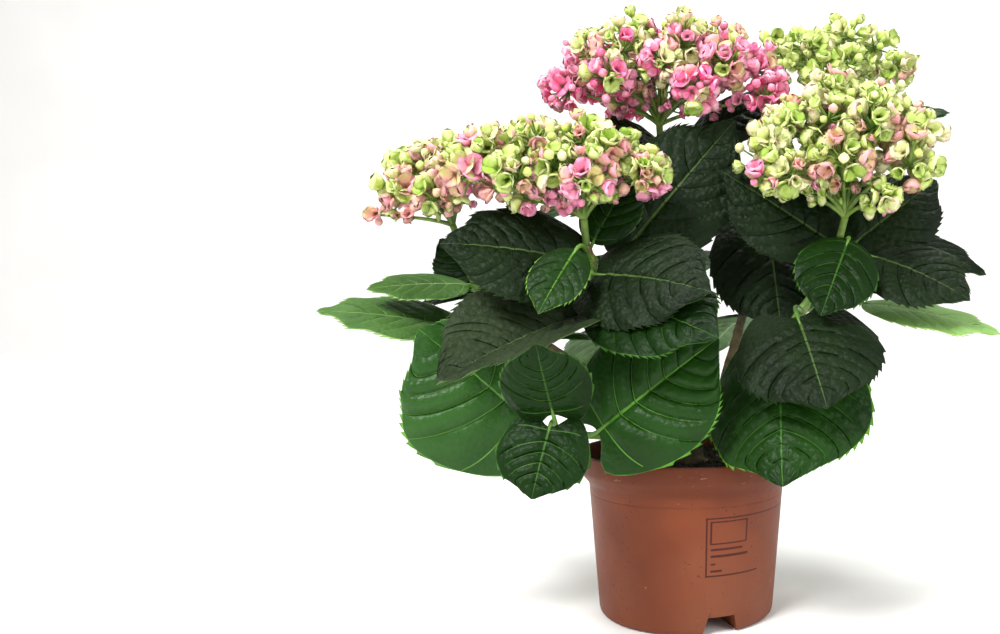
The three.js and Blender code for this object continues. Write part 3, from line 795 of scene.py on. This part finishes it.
def crumbs_tree():
    tree, inputs = new_tree("soil_crumbs", [
        ("Density", "Float", 1.0), ("Crumb size", "Float", 0.001), ("Seed", "Int", 1),
        ("Finish", "Material", None),
    ])
    points = node(tree, "GeometryNodeDistributePointsOnFaces", {
        "Mesh": inputs["Geometry"], "Density": inputs["Density"], "Seed": inputs["Seed"],
    })
    crumb = node(tree, "GeometryNodeMeshIcoSphere", {"Radius": inputs["Crumb size"], "Subdivisions": 1})
    turn, size = (
        node(tree, "FunctionNodeRandomValue", {"Seed": inputs["Seed"], 0: low, 1: high},
             data_type="FLOAT_VECTOR")
        for low, high in (((0, 0, 0), (6, 6, 6)), ((0.4, 0.4, 0.3), (1.5, 1.1, 0.9)))
    )
    spread = node(tree, "GeometryNodeInstanceOnPoints", {
        "Points": points, "Instance": crumb, "Rotation": turn, "Scale": size,
    })
    spread.through("RealizeInstances").through("SetMaterial", Material=inputs["Finish"]).leave()
    return tree


def plain_mesh(made):
    """An object's mesh with its modifiers worked in."""
    bpy.context.view_layer.update()
    graph = bpy.context.evaluated_depsgraph_get()
    return bpy.data.meshes.new_from_object(
        made.evaluated_get(graph), preserve_all_data_layers=True, depsgraph=graph)


def run_tree(tree, source, values):
    """The tree's result on a source mesh, as a plain mesh."""
    holder = placed("holder", source)
    modifier = holder.modifiers.new("grow", "NODES")
    modifier.node_group = tree
    sockets = {item.name: item.identifier for item in tree.interface.items_tree if item.in_out == "INPUT"}
    for name, value in values.items():
        modifier[sockets[name]] = value
    holder.update_tag()
    mesh = plain_mesh(holder)
    bpy.data.objects.remove(holder)
    return mesh


def point_mesh(points, edges=(), **attributes):
    mesh = mesh_of("points", points, [], edges)
    kinds = {"facing": ("FLOAT_VECTOR", "vector"), "pick": ("INT", "value")}
    for name, values in attributes.items():
        kind, field = kinds.get(name, ("FLOAT", "value"))
        mesh.attributes.new(name, kind, "POINT").data.foreach_set(field, np.asarray(values).ravel())
    return mesh


@contextmanager
def edited(mesh):
    """Opens a mesh for edits and writes them back."""
    work = bmesh.new()
    work.from_mesh(mesh)
    yield work
    work.to_mesh(mesh)
    work.free()


def spun(points, turn):
    """Points turned about the upright axis."""
    c, s = math.cos(turn), math.sin(turn)
    return np.array(points, float) @ [[c, s, 0], [-s, c, 0], [0, 0, 1]]


# Floret shapes: four cupped sepals, from tight to open, and a round bud
SEPAL_STATIONS = ((0.04, 0.2), (0.38, 0.84), (0.72, 0.92), (0.97, 0.5))
SEPAL_THICKNESS = 0.11


def sepal(opening, cup):
    """A cupped sepal of unit reach that leans out by its opening angle from the floret's axis."""
    points = []
    for run, wide in SEPAL_STATIONS:
        lean = math.radians(opening) * (1 - 0.55 * cup * run)
        for b in (-1, -0.4, 0.4, 1):
            hollow = cup * 0.42 * wide * b * b
            out = run * math.sin(lean) - hollow * math.cos(lean) * 0.9
            up = run * math.cos(lean) + hollow * math.sin(lean) * 0.6
            points.append((out, b * wide * 0.62 * (1 - 0.16 * cup * b * b), up))
    grid = np.array(points).reshape(4, 4, 3)
    normal = unit(np.cross(np.gradient(grid, axis=0), np.gradient(grid, axis=1)))
    back = (grid + SEPAL_THICKNESS * normal)[1:3, 1:3].reshape(-1, 3)
    upper = np.arange(16).reshape(4, 4)
    lower = upper.copy()
    lower[1:3, 1:3] = [[16, 17], [18, 19]]
    faces = []
    for corners, step in ((upper, 1), (lower, -1)):
        for i in range(3):
            for j in range(3):
                quad = corners[[i, i + 1, i + 1, i], [j, j, j + 1, j + 1]]
                faces.append((quad[::step], BACK if step < 0 else RIM if i == 2 else FACE))
    return np.vstack([points, back]), faces


def shape_object(name, mesh, parts):
    mesh.attributes.new("part", "INT", "FACE").data.foreach_set("value", np.array(parts, np.int32))
    return bpy.data.objects.new(name, mesh)


def floret_shape(name, opening, cup, seed):
    points, faces, parts = [], [], []
    for k in range(4):
        lean = opening * (0.68 + 0.45 * chance(seed + k))
        p, quads = sepal(lean, cup * (0.75 + 0.35 * chance(seed + 2 * k + 1)))
        p = p * (0.82 + 0.3 * chance(seed + 3 * k))
        p[:, 1] += 0.25 * (chance(seed + 5 * k) - 0.5) * np.hypot(p[:, 0], p[:, 2]) ** 2
        for quad, part in quads:
            faces.append((quad + len(points)).tolist())
            parts.append(part)
        points += spun(p, math.tau * (k + 0.25 * chance(seed + 7 * k)) / 4).tolist()
    mesh = bpy.data.meshes.new(name)
    mesh.from_pydata(points, [], faces)
    with edited(mesh) as work:
        bmesh.ops.recalc_face_normals(work, faces=work.faces)
    return shape_object(name, mesh, parts)


def bud_shape(name):
    mesh = bpy.data.meshes.new(name)
    with edited(mesh) as ball:
        bmesh.ops.create_uvsphere(ball, u_segments=8, v_segments=6, radius=0.5)
        for v in ball.verts:
            turn = math.atan2(v.co.y, v.co.x)
            v.co *= 1 + 0.07 * math.cos(4 * turn) * (1 - abs(v.co.z) * 1.6)
            v.co.z += 0.35
    return shape_object(name, mesh, [BACK if f.center.z < 0.4 else FACE for f in mesh.polygons])


def floret_shapes():
    shapes = bpy.data.collections.new("floret_shapes")
    for name, *shape in (("a", 44, 1, 3), ("b", 58, 1, 11), ("c", 70, 0.9, 17), ("d", 84, 0.8, 29),
                         ("e", 64, 1.1, 41), ("f", 92, 0.9, 53)):
        shapes.objects.link(floret_shape(f"floret_{name}", *shape))
    shapes.objects.link(bud_shape("floret_g_bud"))
    return shapes


BUD = 6
# Flower heads, by the same rule as the solids, with more and finer florets in each cluster. Stray
# clusters have a place and a radius. The tints of the rim show at the sides or low down
Head = namedtuple("Head", "fork crest reach drop size count seed strays slot centre rim rim_place fullness")
HEADS = {
    "front_left": Head(
        [-57, -43, 231], [-75, -45, 288], [70, 48], 17, 15.5, 15, 205,
        [[-24, -52, 254, 9], [-86, -60, 240, 8]],
        "blossom_lime", dict(lime=6, cream=2, blush=1.5), dict(blush=3, pink=3, lime=3), "low", 0.95),
    "left": Head(
        [-141, 0, 231], [-155, 8, 285], [42, 42], 18, 14, 10, 241, [[-183, -8, 236, 6]],
        "blossom_blush", dict(lime=4, blush=4, cream=2), dict(blush=6, lime=3, pink=1), "side", 0.85),
    "top": Head(
        [-17, 30, 297], [-12, 17, 367], [86, 57], 37, 16.5, 20, 258, [[-70, 12, 316, 9]],
        "blossom_pink", dict(lime=6, cream=3, blush=3, pink=1), dict(deep=5, pink=5, blush=1),
        "side", 0.95),
    "right": Head(
        [91, -30, 233], [91, -31, 320], [69, 49], 46, 16.5, 17, 374,
        [[108, -58, 241, 9], [40, -56, 251, 8], [47, -50, 272, 12]],
        "blossom_lime", dict(lime=5, cream=4, blush=2.5), dict(lime=6, cream=2, blush=2, pink=1),
        "low", 0.85),
    "right_back": Head(
        [108, 70, 333], [104, 75, 379], [62, 40], 28, 13, 12, 150, [[152, 74, 346, 7], [60, 66, 362, 7]],
        "blossom_lime", dict(lime=8, cream=1), dict(lime=8, cream=1, blush=0.5), "side", 0.6),
}


def clusters_of(head):
    """Rows of a cluster's middle, its radius and how far out in the head it stands."""
    clusters = []
    for i in range(head.count):
        share = math.sqrt((i + 0.5) / head.count)
        turn = GOLDEN_TURN * i + head.seed
        radius = head.size * (0.85 + 0.3 * chance(i + head.seed))
        lift = head.size * 0.6 * (chance(7 * i + head.seed) - 0.5)
        aside = (head.reach[0] - radius) * share * math.cos(turn)
        back = (head.reach[1] - radius) * share * math.sin(turn)
        down = radius + head.drop * share ** 2 - 0.3 * back - lift
        clusters.append((head.crest[0] + aside, head.crest[1] + back, head.crest[2] - down, radius, share))
    return np.array(clusters + [(*stray, 1) for stray in head.strays])


def pick_tint(palette, roll):
    total = sum(palette.values())
    for tint, weight in palette.items():
        roll -= weight / total
        if roll <= 0:
            return tint
    return tint


TINY_CHANCE = 0.2
FLORETS_IN_CLUSTER = 22
USUAL_CLUSTER = 16
# Room a floret needs: its distance from a leaf in sizes, and from another cluster's middle in its radii
LEAF_ROOM = 0.75
CLUSTER_ROOM = 0.5


# One head as it is set out: its florets by tint, and the rays and stems that carry them
class Bloom:
    def __init__(self, order, head, blades):
        self.order = order
        self.head = head
        self.blades = blades
        self.clusters = clusters_of(head)
        self.florets = {tint: [] for tint in PETAL_TINTS}
        self.stems = []
        fork = np.array(head.fork, float)
        for number, (*centre, radius, share) in enumerate(self.clusters):
            outward = unit(unit(centre - fork) + [0, 0, 0.6])
            hub = centre - outward * radius * 0.15
            bow = fork + (centre - fork) * [0.22, 0.22, 0.62]
            ray, t = sagging(fork - [0, 0, 1], bow, hub, 8)
            self.stems.append((ray, 1.5 - 0.75 * t))
            self.fill_cluster(number, outward, hub)
            self.hang_from(number, ray, share)

    def set_floret(self, key, base, way, size, pick, at_rim, stem, girths):
        """Sets a floret on its stem, unless it would meet a leaf."""
        middle = Vector(base + way * size * 0.4)
        if any(blade.find_nearest(middle, size * LEAF_ROOM)[0] is not None for blade in self.blades):
            return
        tint = pick_tint(self.head.rim if at_rim else self.head.centre, chance(key + 3))
        self.florets[tint].append((base, way, pick, size))
        self.stems.append((np.array([*stem, base + way * 0.4]), np.array(girths)))

    def rim_share(self, height, share):
        if self.head.rim_place == "side":
            return share
        low = (self.head.crest[2] - height) / (self.head.drop + 2 * self.head.size)
        return min(1, max(0, 1.5 * low - 0.45)) * (0.5 + 0.5 * share)

    def fill_cluster(self, number, outward, hub):
        *centre, radius, share = self.clusters[number]
        others = np.delete(self.clusters, number, axis=0)
        side = unit(np.cross(outward, [0.3, 1, 0.1]))
        across = np.cross(outward, side)
        count = max(4, round(FLORETS_IN_CLUSTER * self.head.fullness * (radius / USUAL_CLUSTER) ** 1.6))
        for i in range(count):
            key = self.order * 331 + number * 17.7 + i * 3.1
            height = 1 - 1.75 * (i + 0.5) / count
            flat = math.sqrt(max(1 - height * height, 0))
            angle = GOLDEN_TURN * i + centre[0]
            way = unit(outward * height + side * flat * math.cos(angle) + across * flat * math.sin(angle))
            tiny = chance(key) < TINY_CHANCE
            size = (4.2 + 1.8 * chance(key + 5)) if tiny else (6.8 + 4.2 * chance(key + 9))
            depth = radius * (1.14 - 0.5 * chance(key + 2)) - size * 0.7
            base = centre + way * max(depth, radius * 0.25)
            gaps = np.linalg.norm(others[:, :3] - (base + way * size * 0.8), axis=1) / others[:, 3]
            if gaps.min() >= CLUSTER_ROOM:
                at_rim = chance(key + 1) < self.rim_share(base[2], share) ** 2.4 * 1.15
                pick = BUD if tiny else int(chance(key + 4) * (BUD - 0.01))
                self.set_floret(key, base, way, size, pick, at_rim,
                                [hub, hub * 0.35 + base * 0.65], [0.75, 0.6, 0.5])

    def hang_from(self, number, ray, share):
        """Hangs small florets and buds from the outer half of a ray."""
        for i in range(round(6 * share)):
            key = self.order * 173 + number * 9.1 + i * 4.7
            root = ray[3 + int(chance(key) * 4)]
            way = unit([math.cos(key * 5), math.sin(key * 5), 0.5 * chance(key + 1) - 0.35])
            base = root + way * (4 + 4 * chance(key + 2))
            size = 4.5 + 3 * chance(key + 5)
            pick = int(chance(key + 4) * (BUD + 0.99))
            self.set_floret(key, base, way, size, pick, chance(key + 6) < share,
                            [root, (root + base) / 2 + [0, 0, 0.5]], [0.7, 0.55, 0.5])

    def stem_mesh(self, rods):
        paths, girths = zip(*self.stems)
        ends = np.cumsum([len(path) for path in paths]).tolist()
        edges = [(k, k + 1) for k in range(ends[-1] - 1) if k + 1 not in ends]
        source = point_mesh(np.concatenate(paths), edges, girth=np.concatenate(girths) * MM)
        return run_tree(rods, source, {"Sides": 8, "Finish": ray_finish})

    def floret_meshes(self, shapes, sprays):
        for tint, rows in self.florets.items():
            if rows:
                base, way, pick, size = map(np.array, zip(*rows))
                source = point_mesh(base, facing=way, pick=pick.astype(np.int32), size=size * MM)
                yield run_tree(sprays, source, {
                    "Shapes": shapes, "Seed": self.order + 1, **petal_finish[tint],
                })


def bloom_heads(shapes, rods, sprays, blades):
    for order, (name, head) in enumerate(HEADS.items()):
        bloom = Bloom(order, head, blades)
        shoot = SHOOTS[name]
        line = Line(shoot.line)
        neck = Piece(f"neck_{name}")
        shares = np.linspace(shoot.leafy + SEAM / line.length, 1, 9)
        add_limb(neck, line.at(shares), thickness(shoot, shares), 16, ray_finish)
        for made in (placed(f"rays_{name}", bloom.stem_mesh(rods)), neck.build(),
                     joined(f"florets_{name}", bloom.floret_meshes(shapes, sprays))):
            settle(made, head.slot, f"flower_head_{name}")


def joined(name, meshes):
    """Several meshes as one object, each face keeping its finish."""
    made = bpy.data.meshes.new(name)
    with edited(made) as whole:
        for mesh in meshes:
            offset = {}
            for i, material in enumerate(mesh.materials):
                if material is not None:
                    if material.name not in made.materials:
                        made.materials.append(material)
                    offset[i] = made.materials.find(material.name)
            for polygon in mesh.polygons:
                polygon.material_index = offset.get(polygon.material_index, 0)
            whole.from_mesh(mesh)
            bpy.data.meshes.remove(mesh)
    return placed(name, made)


# Pot: turned wall with a rolled rim, three drained pockets cut into its foot
POT_SIDES = 144
OUTSIDE = [(49.4, 0), (50.6, 0.4), (51.5, 1.4), (52, 3.4), (58.2, 75.4), (58.5, 76.8), (59.4, 78.2),
           (64.2, 83.8), (64.8, 84.8), (65, 86), (65, 93.8), (64.8, 94.6), (64.1, 95), (63.2, 95),
           (62.7, 94.6), (62.4, 93.6), (62.4, 90)]
INSIDE = [(49.8, 2.4), (55.4, 76), (62.2, 85), (62.4, 86), (62.4, 99)]
POCKET_TURNS = [math.radians(-68 + 120 * k) for k in range(3)]
POCKET_WALL = 2.2
# Half widths of a pocket at its foot and top, its height, and where it starts and ends from the axis
POCKET_LOW, POCKET_HIGH, POCKET_HEIGHT = 11, 8, 10
POCKET_START, POCKET_END = 23, 73
DRAIN_FROM_AXIS = 38
DRAIN_RADIUS = 4
DRAIN_HEIGHTS = (6, 12, 18)
SHARP_EDGE = math.radians(32)
# Plain print: turn in degrees with its softness and height with its softness, for the left and the
# long lines of a frame, a box and a few bars. The hollow makes the box an empty one
PRINT = [
    (11, 12, 0.25, 33, 66, 0.3), (11, 47, 0.5, 33, 33.9, 0.2), (11, 78, 0.5, 65.2, 66, 0.2),
    (13.5, 37, 0.25, 51, 64, 0.2), (14, 34, 0.6, 47.6, 48.8, 0.3), (14, 38, 0.6, 43.8, 45.2, 0.3),
    (14, 17, 0.6, 39.6, 40.6, 0.3), (14, 21, 0.6, 35.6, 36.8, 0.3),
]
HOLLOW = (14.6, 35.9, 0.25, 51.8, 63.2, 0.2)


def turned_solid(name, outline):
    points = [(r * math.cos(t), r * math.sin(t), z) for r, z in outline for t in ring(POT_SIDES)]
    points += [(0, 0, outline[0][1]), (0, 0, outline[-1][1])]
    walls, caps = tube_faces(len(outline), POT_SIDES)
    return placed(name, mesh_of(name, points, walls + caps))


def pocket_block(grow, turn):
    low, high, top = POCKET_LOW + grow, POCKET_HIGH + grow, POCKET_HEIGHT + grow
    section = ((-low, -1 - grow), (low, -1 - grow), (high, top), (-high, top))
    corners = [(x, y, z) for x in (POCKET_START - grow, POCKET_END) for y, z in section]
    faces = [(0, 3, 2, 1), (4, 5, 6, 7), *((k, n, n + 4, k + 4) for k, n in around(4))]
    return placed("pocket", mesh_of("pocket", spun(corners, turn), faces))


def drain_rod(turn):
    points = spun([(DRAIN_FROM_AXIS, 0, z) for z in DRAIN_HEIGHTS], turn)
    verts, walls, caps = limb(points, [DRAIN_RADIUS] * len(points), 24)
    return placed("drain", mesh_of("drain", verts, walls + caps))


def carve(body, cutters):
    """Cuts the cutters out of the body and leaves a plain mesh."""
    for cutter in cutters:
        cut = body.modifiers.new("cut", "BOOLEAN")
        cut.operation = "DIFFERENCE"
        cut.solver = "EXACT"
        cut.object = cutter
    mesh = plain_mesh(body)
    body.modifiers.clear()
    body.data = mesh
    for cutter in cutters:
        bpy.data.objects.remove(cutter)
    return body


def pot_colour(where):
    x, y, z = outputs(where.tree, "ShaderNodeSeparateXYZ", {"Vector": where}).values()
    height = z * (1 / MM)
    turn = x.math("ARCTAN2", y * -1) * math.degrees(1)

    def block(left, right, side_soft, low, high, soft):
        return turn.inside(left, right, side_soft) * height.inside(low, high, soft)

    dust = where.noise(9).above(0.45, 0.75) * 0.35
    drawn_out = node(where.tree, "ShaderNodeMapping", {"Vector": where, "Scale": (0.4, 0.4, 2.4)})
    patches = where.noise(34).above(0.48, 0.56)
    scuffs = drawn_out.noise(460).above(0.64, 0.67) * patches * height.inside(84, 92, 1)
    flecks = where.noise(300).above(0.75, 0.78)
    specks = where.noise(520).above(0.66, 0.7) * where.noise(40).above(0.52, 0.6)
    line = height.inside(71.4, 72.1, 0.25) * where.noise(60).above(0.35, 0.6)
    ink = (sum(block(*row) for row in PRINT) - block(*HOLLOW)).math("MINIMUM", 1)
    colour = mottled("6b331b", "763a20", 22)(where)
    for mask, tint in (
        (dust, "7c5340"), ((scuffs * 0.75 + flecks * 0.4).math("MINIMUM", 1), "cfa488"),
        # The 512412 band, darker from 73 mm up to the rim, is painted shade: the shadow the overhanging
        # leaves cast on the rim
        (specks * 0.8, "3a1a10"), (height.above(73, 80) * 0.55, "512412"), (line * 0.3, "5a2c1c"),
        (ink * where.noise(700).above(0.15, 0.4) * 0.92, "38120d"),
    ):
        colour = blend_colours(mask, colour, tint)
    return colour


def pot_height(where):
    height = outputs(where.tree, "ShaderNodeSeparateXYZ", {"Vector": where})["Z"] * (1 / MM)
    groove = height.inside(71.2, 72.2, 0.3)
    return where.noise(900) * 0.2 + where.noise(120) * 0.35 - groove * 0.4


def make_pot():
    raised = [pocket_block(POCKET_WALL, turn) for turn in POCKET_TURNS]
    inner = carve(turned_solid("pot_hollow", INSIDE), raised)
    pot = carve(turned_solid("pot_shell", OUTSIDE), [
        inner, *(pocket_block(0, turn) for turn in POCKET_TURNS), *map(drain_rod, POCKET_TURNS),
    ])
    material = finish("terracotta_plastic", pot_colour, varied(0.5, 0.16, 60), pot_height, 0.0006,
                      **{"Specular IOR Level": 0.2})
    pot.data.materials.clear()
    pot.data.materials.append(material)
    pot.data.polygons.foreach_set("material_index", np.zeros(len(pot.data.polygons), np.int32))
    with edited(pot.data) as work:
        for edge in work.edges:
            edge.smooth = len(edge.link_faces) == 2 and edge.calc_face_angle(0) < SHARP_EDGE
        for face in work.faces:
            face.smooth = True
    settle(pot, "pot_plastic", "pot")


SOIL_RADIUS = 61.6
SOIL_HEIGHT = 87.6
SOIL_MIDDLE = 88
SOIL_BASE = 80
SOIL_NARROWING = 0.955
# Crumbs lie between these distances from the axis, in metres. Each layer has its density, size and finish
CRUMBS_FROM, CRUMBS_TO = 0.015, 0.0595
CRUMBS = ((110000, 0.0013, crumb_finish), (30000, 0.0022, crumb_finish), (2500, 0.0011, fibre_finish))


def soil_bed():
    rings, spokes = 26, 96
    turns = ring(spokes)
    top = []
    for i in range(1, rings + 1):
        r = SOIL_RADIUS * i / rings
        swell = 1.3 * np.sin(3 * turns + 2) + 0.9 * np.cos(5 * turns - 4)
        swell = swell * min(1, r / 38) if r >= 20 else 0 * turns
        fine = 0.35 * np.sin(turns * 17 + r) + 0.3 * np.sin(r * 1.3 + turns * 9)
        height = SOIL_HEIGHT + swell * 0.8 + fine
        top.append(np.stack([r * np.cos(turns), r * np.sin(turns), height], axis=1))
    foot = top[-1] * [SOIL_NARROWING, SOIL_NARROWING, 0] + [0, 0, SOIL_BASE]
    last = 1 + rings * spokes
    faces = [[low + k, low + spokes + k, low + spokes + n, low + n]
             for low in range(1, last, spokes) for k, n in around(spokes)]
    faces += [[0, 1 + k, 1 + n] for k, n in around(spokes)]
    faces += [[last + spokes, last + n, last + k] for k, n in around(spokes)]
    bed = Piece("soil_bed")
    points = np.vstack([[0, 0, SOIL_MIDDLE], *top, foot, [0, 0, SOIL_BASE]])
    bed.add(points, faces, [soil_finish], np.zeros(len(faces), int))
    return bed.build()


def make_soil(crumbs):
    bed = soil_bed()
    surface = bed.data.copy()
    with edited(surface) as trim:
        spare = [f for f in trim.faces if f.normal.z < 0.3
                 or not CRUMBS_FROM < f.calc_center_median().xy.length < CRUMBS_TO]
        bmesh.ops.delete(trim, geom=spare, context="FACES")
    settle(bed, "potting_soil", "soil")
    for number, (density, size, material) in enumerate(CRUMBS):
        mesh = run_tree(crumbs, surface.copy(), {
            "Density": float(density), "Crumb size": size, "Seed": number + 3, "Finish": material,
        })
        settle(placed(f"soil_grains_{number}", mesh), "potting_soil", "soil")


# Floor that sweeps up behind the plant: depth and height of its outline, and a hair of room under the pot
FLOOR_OUTLINE = [(-2200, 0), (1400, 0), (1700, 50), (1950, 250), (2050, 600), (2100, 3200)]
FLOOR_HALF_WIDTH = 4000
FLOOR_ROOM = 0.2


def make_stage():
    sides = (-FLOOR_HALF_WIDTH, FLOOR_HALF_WIDTH)
    points = [(x, y, z - FLOOR_ROOM) for y, z in FLOOR_OUTLINE for x in sides]
    faces = [(k, k + 1, k + 3, k + 2) for k in range(0, len(points) - 2, 2)]
    mesh = mesh_of("floor_sweep", points, faces)
    mesh.materials.append(finish("pale_floor", mottled("f2f1ef", "f6f5f3", 3), varied(0.9, 0.05, 4)))
    for polygon in mesh.polygons:
        polygon.use_smooth = True
    placed("floor_sweep", mesh)


LIT_PLACE = Vector((0, 0, 0.2))


def light(name, place, size, power):
    lamp = bpy.data.lights.new(name, "AREA")
    lamp.shape = "DISK"
    lamp.size = size
    lamp.energy = power
    made = placed(name, lamp)
    made.location = place
    made.rotation_euler = (LIT_PLACE - Vector(place)).to_track_quat("-Z", "Y").to_euler()


def make_lights():
    world = bpy.data.worlds.new("studio")
    world.use_nodes = True
    background = world.node_tree.nodes["Background"]
    background.inputs["Color"].default_value = (1, 1, 1, 1)
    background.inputs["Strength"].default_value = 0.55
    bpy.context.scene.world = world
    light("key", (-0.9, -1.3, 1.7), 0.8, 58)
    light("fill", (1.4, -1.2, 0.9), 1.2, 15)
    light("top", (0.1, 0.5, 1.9), 0.9, 26)


bpy.context.scene.view_settings.view_transform = "Standard"
make_stage()
make_lights()
make_pot()
make_soil(crumbs_tree())
grow_crown()
bloom_heads(floret_shapes(), rods_tree(), florets_tree(), grow_shoots())
